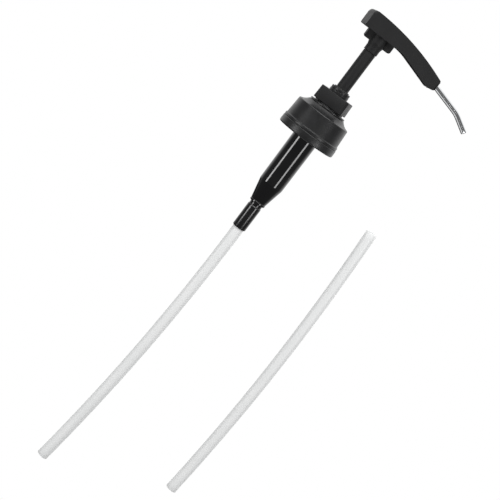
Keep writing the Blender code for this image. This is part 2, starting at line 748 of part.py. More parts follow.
def spout_height(x):
    """Height of the spout's centre line: level, a long arc in the handle, straight, a bend."""
    arc_end = SPOUT_ARC_START + SPOUT_ARC_R * math.sin(SPOUT_SLOPE)
    if x <= SPOUT_ARC_START:
        return PORT_Z
    if x <= arc_end:
        return PORT_Z - SPOUT_ARC_R + math.sqrt(SPOUT_ARC_R ** 2 - (x - SPOUT_ARC_START) ** 2)
    arc_low = PORT_Z - SPOUT_ARC_R * (1 - math.cos(SPOUT_SLOPE))
    if x <= SPOUT_BEND_X:
        return arc_low - (x - arc_end) * math.tan(SPOUT_SLOPE)
    bend_top = arc_low - (SPOUT_BEND_X - arc_end) * math.tan(SPOUT_SLOPE)
    start = SPOUT_BEND_R * math.sin(SPOUT_SLOPE)
    bend_end = SPOUT_BEND_X + SPOUT_BEND_R * math.sin(SPOUT_END_SLOPE) - start
    reach = min(x, bend_end) - SPOUT_BEND_X + start
    fall = SPOUT_BEND_R * math.cos(SPOUT_SLOPE) - math.sqrt(SPOUT_BEND_R ** 2 - reach ** 2)
    return bend_top - fall - max(x - bend_end, 0) * math.tan(SPOUT_END_SLOPE)


def make_spout_tube():
    stations = [SPOUT_START, SPOUT_ARC_START, 19, 28, 37, 46, 55, 82, SPOUT_BEND_X - 1]
    stations += [SPOUT_BEND_X + 2.2 * step for step in range(1, 5)] + [SPOUT_END_X]
    path = [Vector((x, 0, spout_height(x))) for x in stations]
    return swept("spout_tube", path, SPOUT_R, SPOUT_BORE_R, (0, 0, PORT_Z), bright_steel, SIDES_TINY)


def make_spout_o_ring():
    middle = (SPOUT_RING_POCKET[0] + SPOUT_RING_POCKET[1]) / 2 - 0.1
    outline = arc(SPOUT_R + 0.545, middle, O_RING_WIRE_R, 0, 300, 5)
    bm = turned_mesh(outline, SIDES_SMALL, "X")
    for vertex in bm.verts:
        vertex.co.z += PORT_Z
    return finish_object("spout_o_ring", bm, (0, 0, PORT_Z), black_rubber)


# ---------------------------------------------------------------- assembly

def group(name, parent, pieces):
    """Hangs the pieces of one rigid body on an empty that stands on the pump's axis."""
    holder = bpy.data.objects.new(name + "_axis", None)
    holder.empty_display_size = 20 * MM
    holder.parent = parent
    bpy.context.scene.collection.objects.link(holder)
    for piece in pieces:
        piece.parent = holder
    return holder


def build():
    remove_all_objects()
    inlet_z = ball_centre(INLET_SEAT_BORE_R, INLET_SEAT_Z, INLET_BALL_R)
    outlet_seat = STEM_BOTTOM - GAP + OUTLET_SEAT_RISE
    outlet_z = ball_centre(OUTLET_SEAT_BORE_R, outlet_seat, OUTLET_BALL_R)
    body = [make_pump_barrel(), make_collar_nut(), make_thrust_ring(), make_guide_bush()]
    body += [make_stem_wiper(), make_neck_gasket(), make_foot_valve_body(), make_foot_valve_o_ring()]
    body += [make_ball_cage(), make_return_spring(), make_dip_tube()]
    pump = group("pump_body", None, body)
    group("cap", pump, [make_closure_cap(), make_grip_band()])
    seals = [make_cup_seal("upper_cup_seal", PISTON_TOP - 1.9, True)]
    seals.append(make_cup_seal("lower_cup_seal", PISTON_BOTTOM + 5.1, False))
    plunger = group("piston", pump, [make_piston()] + seals)
    top = [make_stem(), make_ball_stop_pin(), make_discharge_seat(), make_handle_shell()]
    head = group("head", plunger, top + [make_spout_tube(), make_spout_o_ring()])
    group("outlet_ball", head, [make_ball("outlet_ball", OUTLET_BALL_R, outlet_z)])
    group("inlet_ball", pump, [make_ball("inlet_ball", INLET_BALL_R, inlet_z)])
    group("extension_tube", pump, [make_extension_tube()])


build()
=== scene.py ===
"""The looks of the fluid transfer pump: its fine surfaces, materials, light and camera.

Each piece stands where its CAD node stands and replaces it. Lengths are in millimetres until a
mesh is finished, and heights are above the container's rim, which is the frame's origin.
"""

import json
import math

import bmesh
import bpy
from mathutils import Matrix, Vector


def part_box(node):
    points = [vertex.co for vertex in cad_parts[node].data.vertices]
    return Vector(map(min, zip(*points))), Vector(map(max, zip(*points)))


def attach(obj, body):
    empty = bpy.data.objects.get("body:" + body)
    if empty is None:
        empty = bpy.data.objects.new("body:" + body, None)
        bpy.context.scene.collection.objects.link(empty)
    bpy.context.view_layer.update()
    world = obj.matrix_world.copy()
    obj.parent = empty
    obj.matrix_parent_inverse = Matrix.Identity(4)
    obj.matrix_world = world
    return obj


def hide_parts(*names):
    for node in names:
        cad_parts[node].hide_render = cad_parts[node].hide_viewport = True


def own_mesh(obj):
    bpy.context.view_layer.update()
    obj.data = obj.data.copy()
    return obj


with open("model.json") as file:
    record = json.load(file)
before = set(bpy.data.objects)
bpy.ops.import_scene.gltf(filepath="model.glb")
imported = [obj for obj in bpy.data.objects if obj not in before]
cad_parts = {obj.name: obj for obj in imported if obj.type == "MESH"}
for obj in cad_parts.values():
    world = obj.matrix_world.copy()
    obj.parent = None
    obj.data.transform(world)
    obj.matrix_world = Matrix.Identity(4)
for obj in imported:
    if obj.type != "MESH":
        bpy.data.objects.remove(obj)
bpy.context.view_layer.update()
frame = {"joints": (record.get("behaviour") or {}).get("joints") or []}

MM = 0.001
GAP = 0.3              # clearance between neighbouring pieces
SIDES = 128            # sides of a large turned piece
SIDES_SMALL = 64       # sides of a slim one
SIDES_PIPE = 48        # sides of a pipe or a ball
SIDES_HOLE = 32        # sides of a pin and its hole
ARC_STEP = math.radians(12)
SHARP = math.radians(32)


def extent(node):
    """Lowest and highest corner of a CAD node, in millimetres."""
    low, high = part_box(node)
    return low / MM, high / MM


# ---------------------------------------------------------------- dimensions

CAP_LOW, CAP_HIGH = extent("closure_cap")
BAND_LOW, BAND_HIGH = extent("grip_band")
BARREL_LOW, BARREL_HIGH = extent("pump_barrel")
FOOT_LOW, FOOT_HIGH = extent("foot_valve_body")
NUT_LOW, NUT_HIGH = extent("collar_nut")
RING_LOW, RING_HIGH = extent("thrust_ring")
BUSH_LOW, BUSH_HIGH = extent("guide_bush")
STEM_LOW, STEM_HIGH = extent("stem")
HANDLE_LOW, HANDLE_HIGH = extent("handle_shell")
SPRING_LOW, SPRING_HIGH = extent("return_spring")
DIP_TOP = extent("dip_tube")[1].z
SPARE_TOP = extent("extension_tube")[1].z

CAP_HOLE_R = 15.9
CAP_EDGE_R = 31.2
CAP_EDGE_Z = 6.0
CAP_STEP_R = 32.5
CAP_STEP_Z = -13.8
CAP_SKIRT_R = 31.5
CAP_BORE_R = 29.3
CEILING = 4.3
FLARE_CENTRE = (34.06, 21.08)
FLARE_R = 15.3
FLARE_START, FLARE_END = 218.5, 253   # degrees
GASKET_HOLE_R = 22.0
BORE_R = 12.7
NECK_R = 15.4
NUT_LIP = 3.5          # thickness of the nut's top
CONE_TOP = -86.2
CONE_END = -108.6
CONE_END_R = 9.3
TUBE_R = 6.5
TUBE_BORE_R = 5.0
TUBE_BOW_R = 2400.0
DIP_LENGTH = 365.95    # along its centre line, a hair short of the CAD node
DIP_BOW_DEPTH = 26     # from the dip tube's top down to the bow's furthest point
SPARE_X = 130.0
SPARE_LENGTH = 373.95
SPARE_BOW_Z = -238
BUSH_OUTER_R = 11.4
STEM_R = STEM_HIGH.x
STEM_BORE_R = 4.5
STEM_SHOULDER = 7.9
SPIGOT_R = 6.2
HEAD_SHOULDER = 84.8
HEAD_SPIGOT_R = 5.9
UNDERSIDE = 104.3      # the handle's flat lower rim
CROWN_R = 300.0        # the handle's top is one long arc
CROWN_X = -21.5
CROWN_Z = 122.7
WALL = 1.8
WEB_HALF = 3.6         # half thickness of the webs beside the socket
PORT_Z = 110.5
SPOUT_R = 3.175
SPOUT_BORE_R = 2.35


# ---------------------------------------------------------------- mesh tools

def arc(centre, radius, start, end, steps):
    """Points along an arc, from one angle to another in degrees."""
    points = []
    for step in range(steps + 1):
        angle = math.radians(start + (end - start) * step / steps)
        points.append((centre[0] + radius * math.cos(angle), centre[1] + radius * math.sin(angle)))
    return points


def rounded(corners):
    """A closed outline with its corners turned into arcs. A corner is (x, y) or (x, y, radius)."""
    points = []
    for index, corner in enumerate(corners):
        here = Vector(corner[:2])
        if len(corner) == 2:
            points.append(tuple(here))
            continue
        radius = corner[2]
        before = (Vector(corners[index - 1][:2]) - here).normalized()
        after = (Vector(corners[(index + 1) % len(corners)][:2]) - here).normalized()
        half = before.angle(after) / 2
        centre = here + (before + after).normalized() * radius / math.sin(half)
        start = here + before * radius / math.tan(half) - centre
        end = here + after * radius / math.tan(half) - centre
        first = math.atan2(start.y, start.x)
        turn = (math.atan2(end.y, end.x) - first + math.pi) % (2 * math.pi) - math.pi
        steps = max(2, math.ceil(abs(turn) / ARC_STEP))
        points += arc(centre, radius, math.degrees(first), math.degrees(first + turn), steps)
    return points


def turned(outline, sides=SIDES, axis="Z", height=0.0):
    """A solid of revolution about Z, or about a line along X at the given height."""
    bm = bmesh.new()
    rings = []
    for radius, along in outline:
        ring = []
        for step in range(sides if radius else 1):
            angle = 2 * math.pi * step / sides
            across, up = radius * math.cos(angle), radius * math.sin(angle)
            place = (across, up, along) if axis == "Z" else (along, across, up + height)
            ring.append(bm.verts.new(place))
        rings.append(ring if radius else ring * sides)
    join_rings(bm, rings + rings[:1])
    return bm


def join_rings(bm, rings):
    """Skins a row of rings, each a list of the same number of points."""
    for ring, following in zip(rings, rings[1:]):
        for step in range(len(ring)):
            after = (step + 1) % len(ring)
            corners = [ring[step], ring[after], following[after], following[step]]
            distinct = list(dict.fromkeys(corners))
            if len(distinct) > 2:
                bm.faces.new(distinct)


def swept(path, section, sides):
    """Skins a pipe along a path in the XZ plane.

    section(last) gives its rings as (radius, point of the path, shift along the path).
    """
    bm = bmesh.new()
    last = len(path) - 1
    rings = []
    for radius, place, setback in section(last):
        before, after = path[max(place - 1, 0)], path[min(place + 1, last)]
        heading = (after - before).normalized()
        side = heading.cross(Vector((0, 1, 0))).normalized()
        centre = path[place] + heading * setback
        ring = []
        for step in range(sides):
            angle = 2 * math.pi * step / sides
            offset = side * math.cos(angle) + Vector((0, math.sin(angle), 0))
            ring.append(bm.verts.new(centre + offset * radius))
        rings.append(ring)
    join_rings(bm, rings + rings[:1])
    return bm


def pipe_section(outer, inner, lip):
    """The rings of a pipe with slightly rounded ends: out along the outside, back along the bore."""
    def section(last):
        yield outer - lip, 0, 0
        yield outer - 0.3 * lip, 0, 0.3 * lip
        yield outer, 0, lip
        for place in range(1, last):
            yield outer, place, 0
        yield outer, last, -lip
        yield outer - 0.3 * lip, last, -0.3 * lip
        yield outer - lip, last, 0
        yield inner + lip, last, 0
        yield inner, last, -lip
        for place in range(last - 1, 0, -1):
            yield inner, place, 0
        yield inner, 0, lip
        yield inner + lip, 0, 0
    return section


def slab(outline, half_width):
    """Two side faces joined round their outline in XZ; half_width(x) is how far out they stand."""
    bm = bmesh.new()
    near = [bm.verts.new((x, -half_width(x), z)) for x, z in outline]
    far = [bm.verts.new((x, half_width(x), z)) for x, z in outline]
    bm.faces.new(near)
    bm.faces.new(far)
    for index in range(len(outline)):
        after = (index + 1) % len(outline)
        bm.faces.new([near[index], near[after], far[after], far[index]])
    return bm


def soften(bm, chosen, width, segments):
    """Bevels the edges for which chosen(middle, first, second) is true."""
    edges = []
    for edge in bm.edges:
        first, second = (vertex.co for vertex in edge.verts)
        if chosen((first + second) / 2, first, second):
            edges.append(edge)
    bmesh.ops.bevel(bm, geom=edges, offset=width, segments=segments, profile=0.5, affect="EDGES")
    return bm


def bare_object(name, bm):
    bmesh.ops.recalc_face_normals(bm, faces=bm.faces)
    mesh = bpy.data.meshes.new(name)
    bm.to_mesh(mesh)
    bm.free()
    thing = bpy.data.objects.new(name, mesh)
    bpy.context.scene.collection.objects.link(thing)
    return thing


def combined(bm, steps):
    """Joins and cuts solids. steps is a list of (operation, bmesh); the result is a bmesh."""
    target = bare_object("work", bm)
    tools = []
    for operation, tool in steps:
        tools.append(bare_object("tool", tool))
        modifier = target.modifiers.new("step", "BOOLEAN")
        modifier.operation = operation
        modifier.object = tools[-1]
        modifier.solver = "EXACT"
    evaluated = target.evaluated_get(bpy.context.evaluated_depsgraph_get())
    result = bmesh.new()
    result.from_mesh(evaluated.to_mesh())
    evaluated.to_mesh_clear()
    for thing in tools + [target]:
        bpy.data.objects.remove(thing, do_unlink=True)
    bmesh.ops.remove_doubles(result, verts=result.verts, dist=0.002)
    return result


def piece(name, bm, body, finish):
    """Turns a mesh in millimetres into a piece that rides on a body and replaces its CAD node."""
    bmesh.ops.scale(bm, vec=(MM, MM, MM), verts=bm.verts)
    thing = bare_object(name + "_fine", bm)
    thing.data.shade_smooth()
    thing.data.set_sharp_from_angle(angle=SHARP)
    material, slot = finish
    thing.data.materials.append(material)
    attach(thing, body)
    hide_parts(name)
    return thing


# ---------------------------------------------------------------- materials

class Paint:
    """A Principled material under construction, with its textures in object coordinates."""

    def __init__(self, name, colour, roughness, **shader_values):
        self.material = bpy.data.materials.new(name)
        self.material.use_nodes = True
        self.tree = self.material.node_tree
        self.shader = self.tree.nodes["Principled BSDF"]
        self.shader.inputs["Base Color"].default_value = (*colour, 1)
        self.shader.inputs["Roughness"].default_value = roughness
        for socket, value in shader_values.items():
            self.shader.inputs[socket.replace("_", " ")].default_value = value
        self.where = self.tree.nodes.new("ShaderNodeTexCoord").outputs["Object"]

    def noise(self, grain, detail=2.0, stretch=(1, 1, 1)):
        """Noise whose grain is a length in millimetres, drawn out along the axes by stretch."""
        mapping = self.tree.nodes.new("ShaderNodeMapping")
        mapping.inputs["Scale"].default_value = [1 / (grain * MM * along) for along in stretch]
        texture = self.tree.nodes.new("ShaderNodeTexNoise")
        texture.inputs["Scale"].default_value = 1.0
        texture.inputs["Detail"].default_value = detail
        self.tree.links.new(self.where, mapping.inputs["Vector"])
        self.tree.links.new(mapping.outputs["Vector"], texture.inputs["Vector"])
        return texture.outputs["Fac"]

    def tint(self, fac, dark, light):
        """Varies the colour between two tones."""
        ramp = self.tree.nodes.new("ShaderNodeValToRGB")
        ramp.color_ramp.elements[0].position = 0.35
        ramp.color_ramp.elements[0].color = (*dark, 1)
        ramp.color_ramp.elements[1].position = 0.65
        ramp.color_ramp.elements[1].color = (*light, 1)
        self.tree.links.new(fac, ramp.inputs["Fac"])
        self.tree.links.new(ramp.outputs["Color"], self.shader.inputs["Base Color"])

    def polish(self, fac, low, high):
        """Varies the roughness."""
        span = self.tree.nodes.new("ShaderNodeMapRange")
        span.inputs["From Min"].default_value = 0.3
        span.inputs["From Max"].default_value = 0.7
        span.inputs["To Min"].default_value = low
        span.inputs["To Max"].default_value = high
        self.tree.links.new(fac, span.inputs["Value"])
        self.tree.links.new(span.outputs["Result"], self.shader.inputs["Roughness"])

    def relief(self, fac, depth, strength):
        """Adds a bump of a depth in millimetres."""
        bump = self.tree.nodes.new("ShaderNodeBump")
        bump.inputs["Distance"].default_value = depth * MM
        bump.inputs["Strength"].default_value = strength
        self.tree.links.new(fac, bump.inputs["Height"])
        self.tree.links.new(bump.outputs["Normal"], self.shader.inputs["Normal"])

    def let_through(self, share, colour):
        """Passes a share of the light on the far side through the wall, scattered."""
        cloudy = self.tree.nodes.new("ShaderNodeBsdfTranslucent")
        cloudy.inputs["Color"].default_value = (*colour, 1)
        mix = self.tree.nodes.new("ShaderNodeMixShader")
        mix.inputs["Fac"].default_value = share
        output = self.tree.nodes["Material Output"]
        self.tree.links.new(self.shader.outputs["BSDF"], mix.inputs[1])
        self.tree.links.new(cloudy.outputs["BSDF"], mix.inputs[2])
        self.tree.links.new(mix.outputs["Shader"], output.inputs["Surface"])


def satin_black(name, smoothest, roughest, shine, tone):
    """Moulded plastic with a fine spark-eroded grain."""
    colour = Vector((1.0, 1.02, 1.1)) * tone
    paint = Paint(name, colour, smoothest, Specular_IOR_Level=shine)
    paint.tint(paint.noise(14.0), colour * 0.82, colour * 1.18)
    paint.polish(paint.noise(6.0, 3.0), smoothest, roughest)
    paint.relief(paint.noise(0.35, 3.0), 0.02, 0.6)
    return paint.material, "satin_black_plastic"


def gloss_black(name, smoothest, roughest):
    """Polished plastic with a trace of flow in its surface."""
    paint = Paint(name, (0.005, 0.005, 0.0055), smoothest)
    paint.tint(paint.noise(18.0), (0.0040, 0.0040, 0.0045), (0.0060, 0.0060, 0.0065))
    paint.polish(paint.noise(5.0, 4.0, (1, 1, 3)), smoothest, roughest)
    paint.relief(paint.noise(4.0, 1.0, (1, 1, 3)), 0.01, 0.4)
    return paint.material, "gloss_black_plastic"


def black_rubber():
    paint = Paint("black_rubber", (0.012, 0.012, 0.012), 0.6)
    paint.tint(paint.noise(5.0), (0.010, 0.010, 0.010), (0.017, 0.017, 0.016))
    paint.polish(paint.noise(1.5, 3.0), 0.5, 0.7)
    paint.relief(paint.noise(0.25), 0.02, 0.5)
    return paint.material, "black_rubber"


def white_plastic():
    paint = Paint("white_plastic", (0.72, 0.72, 0.69), 0.4, Subsurface_Weight=0.15,
                  Subsurface_Scale=0.002)
    paint.tint(paint.noise(9.0), (0.68, 0.68, 0.65), (0.76, 0.76, 0.73))
    paint.polish(paint.noise(4.0, 3.0), 0.35, 0.48)
    paint.relief(paint.noise(0.4), 0.015, 0.5)
    return paint.material, "white_plastic"


def bright_steel(name, slot, stretch):
    """Drawn steel: fine lines along the direction of drawing."""
    paint = Paint(name, (0.63, 0.64, 0.65), 0.1, Metallic=1.0)
    paint.tint(paint.noise(12.0), (0.60, 0.61, 0.62), (0.66, 0.67, 0.68))
    paint.polish(paint.noise(3.0, 4.0, stretch), 0.08, 0.13)
    paint.relief(paint.noise(0.6, 2.0, stretch), 0.001, 0.3)
    return paint.material, slot


def milky_tube():
    """Natural polyethylene: cloudy, with faint draw lines along the tube."""
    paint = Paint("milky_tube", (0.96, 0.97, 0.97), 0.4)
    paint.tint(paint.noise(7.0, 3.0, (1, 1, 5)), (0.95, 0.96, 0.96), (0.98, 0.985, 0.985))
    paint.polish(paint.noise(1.2, 3.0, (1, 1, 12)), 0.34, 0.48)
    paint.relief(paint.noise(1.0, 2.0, (1, 1, 14)), 0.02, 0.5)
    paint.let_through(0.15, (0.97, 0.975, 0.975))
    return paint.material, "translucent_tube"


SATIN = satin_black("satin_black", 0.34, 0.43, 0.5, 0.0080)
MATTE = satin_black("matte_black", 0.50, 0.60, 0.38, 0.0055)
GLOSS = gloss_black("gloss_black", 0.07, 0.13)
HALF_GLOSS = gloss_black("half_gloss_black", 0.15, 0.24)
RUBBER = black_rubber()
WHITE = white_plastic()
STEEL = bright_steel("polished_steel", "polished_steel", (12, 1, 1))
SPRING_STEEL = bright_steel("spring_steel", "spring_steel", (4, 4, 1))
MILKY = milky_tube()


# ---------------------------------------------------------------- closure

def thread_ridge(bm):
    """The thread inside the cap: a tapered ridge that runs in and out of the wall."""
    turns, pitch, per_turn, run_in = 1.75, 4.2, 72, 10
    root, depth, half = CAP_BORE_R + 0.2, 1.1, 1.1
    top = CEILING - 7.0
    rings = []
    last = round(turns * per_turn)
    for step in range(last + 1):
        angle = 2 * math.pi * step / per_turn
        share = min(1.0, step / run_in, (last - step) / run_in)
        crest = root - 0.25 - depth * share
        centre = top - pitch * step / per_turn
        ring = []
        for radius, offset in ((root, half), (crest, half * 0.4), (crest, -half * 0.4), (root, -half)):
            ring.append(bm.verts.new((radius * math.cos(angle), radius * math.sin(angle),
                                      centre + offset)))
        rings.append(ring)
    join_rings(bm, rings)
    bm.faces.new(rings[0])
    bm.faces.new(rings[-1])


def make_closure_cap():
    foot_r, bottom = CAP_HIGH.x, CAP_LOW.z
    parting, bead = BAND_HIGH.z + GAP, 0.8
    outline = [(CAP_HOLE_R, CEILING), (CAP_HOLE_R, CAP_HIGH.z, 0.4)]
    outline += arc(FLARE_CENTRE, FLARE_R, FLARE_START, FLARE_END, 12)
    outline += [(CAP_EDGE_R, CAP_EDGE_Z + 0.1, 1.3), (CAP_STEP_R, CAP_STEP_Z, 0.5)]
    outline += [(foot_r, CAP_STEP_Z - bead, 0.35), (foot_r, parting, 0.3), (CAP_SKIRT_R, parting)]
    outline += [(CAP_SKIRT_R, bottom, 0.3), (CAP_BORE_R + 0.5, bottom, 0.3)]
    outline += [(CAP_BORE_R, bottom + 1.5), (CAP_BORE_R, CEILING, 0.8)]
    bm = turned(rounded(outline))
    thread_ridge(bm)
    return piece("closure_cap", bm, "cap", SATIN)


def make_grip_band():
    inner, outer = CAP_SKIRT_R + GAP, BAND_HIGH.x
    top, bottom = BAND_HIGH.z, BAND_LOW.z
    outline = [(inner, top), (outer - 0.6, top, 0.2), (outer - 0.15, top - 0.5, 0.4)]
    outline += [(outer, bottom, 1.6), (inner, bottom, 0.3)]
    return piece("grip_band", turned(rounded(outline)), "cap", SATIN)


def make_neck_gasket():
    low, high = extent("neck_gasket")
    outline = [(GASKET_HOLE_R, high.z, 0.2), (high.x, high.z, 0.3), (high.x, low.z, 0.3)]
    outline += [(GASKET_HOLE_R, low.z, 0.2)]
    return piece("neck_gasket", turned(rounded(outline)), "pump_body", WHITE)


# ---------------------------------------------------------------- barrel and its top

def make_pump_barrel():
    flange_top, flange_low = CEILING - GAP, extent("neck_gasket")[1].z + GAP
    flange_r, top, bottom = BARREL_HIGH.x, BARREL_HIGH.z, BARREL_LOW.z
    body_top_r, body_low_r = 14.6, 14.0
    outlet_r, outlet_z = 7.3, -106.5
    outline = [(BORE_R, top, 0.4), (NECK_R, top, 0.7), (NECK_R, flange_top, 0.4)]
    outline += [(flange_r, flange_top, 0.4), (flange_r, flange_low, 0.4), (body_top_r, flange_low, 1.2)]
    outline += [(body_low_r, CONE_TOP, 6.0), (CONE_END_R - 0.1, CONE_END, 0.3)]
    outline += [(CONE_END_R - 0.35, CONE_END - 0.5, 0.2), (CONE_END_R, CONE_END - 0.9, 0.25)]
    outline += [(CONE_END_R, bottom + 0.7, 0.4), (CONE_END_R - 0.9, bottom, 0.3)]
    outline += [(outlet_r, bottom, 0.3), (outlet_r, outlet_z, 0.5), (BORE_R, CONE_TOP, 2.0)]
    return piece("pump_barrel", turned(rounded(outline)), "pump_body", GLOSS)


def make_collar_nut():
    """A square nut with cut corners and a little draft; its edges are broken all round."""
    flat, corner, draft, edge, turn = 35.6, 2.9, 0.5, 0.55, math.radians(-24.5)
    bm = bmesh.new()
    rings = []
    for height, half in ((NUT_LOW.z, flat / 2), (NUT_HIGH.z, flat / 2 - draft)):
        inner = half - corner
        points = [(half, inner), (inner, half), (-inner, half), (-half, inner)]
        points += [(-x, -y) for x, y in points]
        rings.append([bm.verts.new((x, y, height)) for x, y in points])
    join_rings(bm, rings)
    bm.faces.new(rings[0])
    bm.faces.new(rings[1])
    bmesh.ops.bevel(bm, geom=list(bm.edges), offset=edge, segments=3, profile=0.5, affect="EDGES")
    bmesh.ops.rotate(bm, cent=(0, 0, 0), matrix=Matrix.Rotation(turn, 3, "Z"), verts=bm.verts)
    lip, bush_hole, neck_hole = NUT_HIGH.z - NUT_LIP, BUSH_OUTER_R + GAP, NECK_R + GAP
    drill = [(0, NUT_HIGH.z + 1), (bush_hole + 1, NUT_HIGH.z + 1), (bush_hole, NUT_HIGH.z - 0.5)]
    drill += [(bush_hole, lip), (neck_hole, lip), (neck_hole, NUT_LOW.z + 0.5)]
    drill += [(neck_hole + 1.5, NUT_LOW.z - 1), (0, NUT_LOW.z - 1)]
    bm = combined(bm, [("DIFFERENCE", turned(drill, SIDES))])
    return piece("collar_nut", bm, "pump_body", MATTE)


def make_thrust_ring():
    hole, hub_r, disc_top = CAP_HOLE_R, 17.4, 13.7
    outline = [(hole, RING_HIGH.z, 0.2), (hub_r, RING_HIGH.z, 0.3), (hub_r, disc_top, 0.4)]
    outline += [(RING_HIGH.x, disc_top, 0.5), (RING_HIGH.x, RING_LOW.z, 0.3), (hole, RING_LOW.z, 0.2)]
    return piece("thrust_ring", turned(rounded(outline)), "pump_body", SATIN)


def make_guide_bush():
    hole, pocket_r, pocket_z = STEM_R + GAP, 9.9, 33.0
    top, groove_low, groove_top = BUSH_HIGH.z, 33.8, 33.8 + 0.35
    flange_low, flange_top = BARREL_HIGH.z + GAP, NUT_HIGH.z - NUT_LIP - GAP
    spigot, outer = BORE_R - GAP, BUSH_OUTER_R
    crown_r, groove_r = outer - 0.2, outer - 0.6
    outline = [(pocket_r, top, 0.2), (crown_r, top, 0.5), (crown_r, groove_top, 0.15)]
    outline += [(groove_r, groove_top, 0.15), (groove_r, groove_low, 0.15), (outer, groove_low, 0.2)]
    outline += [(outer, flange_top, 0.3), (BUSH_HIGH.x, flange_top, 0.3), (BUSH_HIGH.x, flange_low, 0.3)]
    outline += [(spigot, flange_low), (spigot, BUSH_LOW.z, 0.5), (hole, BUSH_LOW.z, 0.4)]
    outline += [(hole, pocket_z), (pocket_r, pocket_z)]
    return piece("guide_bush", turned(rounded(outline)), "pump_body", SATIN)


def make_stem_wiper():
    low, high = extent("stem_wiper")
    inner, lip_r = STEM_R + 0.15, 8.9
    shoulder = BUSH_HIGH.z - GAP
    outline = [(inner, high.z, 0.25), (lip_r, high.z, 0.6), (lip_r, shoulder, 0.2)]
    outline += [(high.x, shoulder, 0.2), (high.x, low.z, 0.3), (inner + 0.5, low.z)]
    return piece("stem_wiper", turned(rounded(outline)), "pump_body", RUBBER)


# ---------------------------------------------------------------- plunger

def make_piston():
    low, high = extent("piston")
    groove_r, groove, outer = 9.6, 3.6, high.x
    outline = [(SPIGOT_R + GAP, high.z, 0.3), (outer, high.z, 0.4)]
    for top in (high.z - 1.6, low.z + 1.8 + groove):
        outline += [(outer, top, 0.2), (groove_r, top, 0.3)]
        outline += [(groove_r, top - groove, 0.3), (outer, top - groove, 0.2)]
    outline += [(outer, low.z, 0.4), (SPIGOT_R + GAP, low.z, 0.3)]
    return piece("piston", turned(rounded(outline)), "plunger", WHITE)


def make_cup_seal(name, lip_up):
    """A U-shaped seal: two lips with a groove between them, facing up or down."""
    low, high = extent(name)
    inner, outer, height = 9.9, high.x, high.z - low.z
    profile = [(inner, 0, 0.2), (inner + 0.8, 0, 0.2), (inner + 1.35, 1.4, 0.3)]
    profile += [(outer - 0.8, 0, 0.2), (outer, 0, 0.15), (outer - 0.3, height, 0.4), (inner, height, 0.3)]
    if lip_up:
        outline = [(radius, high.z - depth, fillet) for radius, depth, fillet in profile]
    else:
        outline = [(radius, low.z + depth, fillet) for radius, depth, fillet in profile]
    return piece(name, turned(rounded(outline)), "plunger", RUBBER)


def make_stem():
    top, bottom = STEM_HIGH.z, STEM_LOW.z
    outline = [(STEM_BORE_R, top, 0.3), (HEAD_SPIGOT_R, top, 0.5), (HEAD_SPIGOT_R, HEAD_SHOULDER)]
    outline += [(STEM_R, HEAD_SHOULDER, 0.3), (STEM_R, STEM_SHOULDER, 0.3), (SPIGOT_R, STEM_SHOULDER)]
    outline += [(SPIGOT_R, bottom, 0.4), (STEM_BORE_R, bottom, 0.3)]
    pin_z = (extent("ball_stop_pin")[0].z + extent("ball_stop_pin")[1].z) / 2
    outer, hole = STEM_R, 1.3
    drill = turned([(0, outer), (hole, outer), (hole, -outer), (0, -outer)], SIDES_HOLE, "X", pin_z)
    bm = combined(turned(rounded(outline), SIDES_SMALL), [("DIFFERENCE", drill)])
    return piece("stem", bm, "head", MATTE)


def make_ball_stop_pin():
    low, high = extent("ball_stop_pin")
    radius = (high.z - low.z) / 2
    outline = [(0, high.x), (radius, high.x, 0.25), (radius, low.x, 0.25), (0, low.x)]
    bm = turned(rounded(outline), SIDES_HOLE, "X", (low.z + high.z) / 2)
    return piece("ball_stop_pin", bm, "head", SPRING_STEEL)


def make_discharge_seat():
    low, high = extent("discharge_seat")
    bore, plug_r, flange_top = 2.0, STEM_BORE_R - GAP, STEM_LOW.z - GAP
    outline = [(bore + 1.4, high.z, 0.15), (plug_r, high.z, 0.3), (plug_r, flange_top, 0.2)]
    outline += [(high.x, flange_top, 0.3), (high.x, low.z, 0.5), (bore, low.z, 0.3)]
    outline += [(bore, high.z - 1.4)]
    return piece("discharge_seat", turned(rounded(outline), SIDES_SMALL), "head", WHITE)


def make_ball(name, body):
    """A check ball, turned from a half circle."""
    low, high = extent(name)
    radius, centre = (high.z - low.z) / 2, (high.z + low.z) / 2
    outline = arc((0, centre), radius, 90, -90, 24)
    outline[0], outline[-1] = (0, high.z), (0, low.z)
    return piece(name, turned(outline, SIDES_PIPE), body, SPRING_STEEL)


# ---------------------------------------------------------------- foot valve, spring and tubes

def make_foot_valve_body():
    top, bottom, foot_r = FOOT_HIGH.z, FOOT_LOW.z, FOOT_HIGH.x
    spigot, neck_r, neck_low = 7.0, 7.3, -115.1
    ring_top, ring_low, groove_r = -109.6, -111.4, 6.2
    seat_z, seat_r, bore = -107.5, 5.3, 3.0
    tube_hole, tube_stop = TUBE_R + 0.2, DIP_TOP + GAP
    outline = [(seat_r, top, 0.2), (spigot, top, 0.4), (spigot, ring_top), (groove_r, ring_top, 0.2)]
    outline += [(groove_r, ring_low, 0.2), (spigot, ring_low), (neck_r, BARREL_LOW.z - GAP, 0.3)]
    outline += [(neck_r, neck_low, 0.5), (foot_r, neck_low - 0.8, 0.4), (foot_r - 0.1, bottom, 1.1)]
    outline += [(tube_hole, bottom, 0.3), (tube_hole, tube_stop), (bore, tube_stop)]
    outline += [(bore, seat_z), (seat_r, seat_z + seat_r - bore)]
    return piece("foot_valve_body", turned(rounded(outline)), "pump_body", HALF_GLOSS)


def make_o_ring(name, body, radius, axis):
    """A round-section ring about Z, or about the spout's line."""
    low, high = extent(name)
    along = (low.z + high.z) / 2 if axis == "Z" else (low.x + high.x) / 2
    wire_r, sides = 0.42, 24
    outline = arc((radius, along), wire_r, 0, 360, sides)[:-1]
    bm = turned(outline, SIDES_SMALL, axis, PORT_Z)
    return piece(name, bm, body, RUBBER)


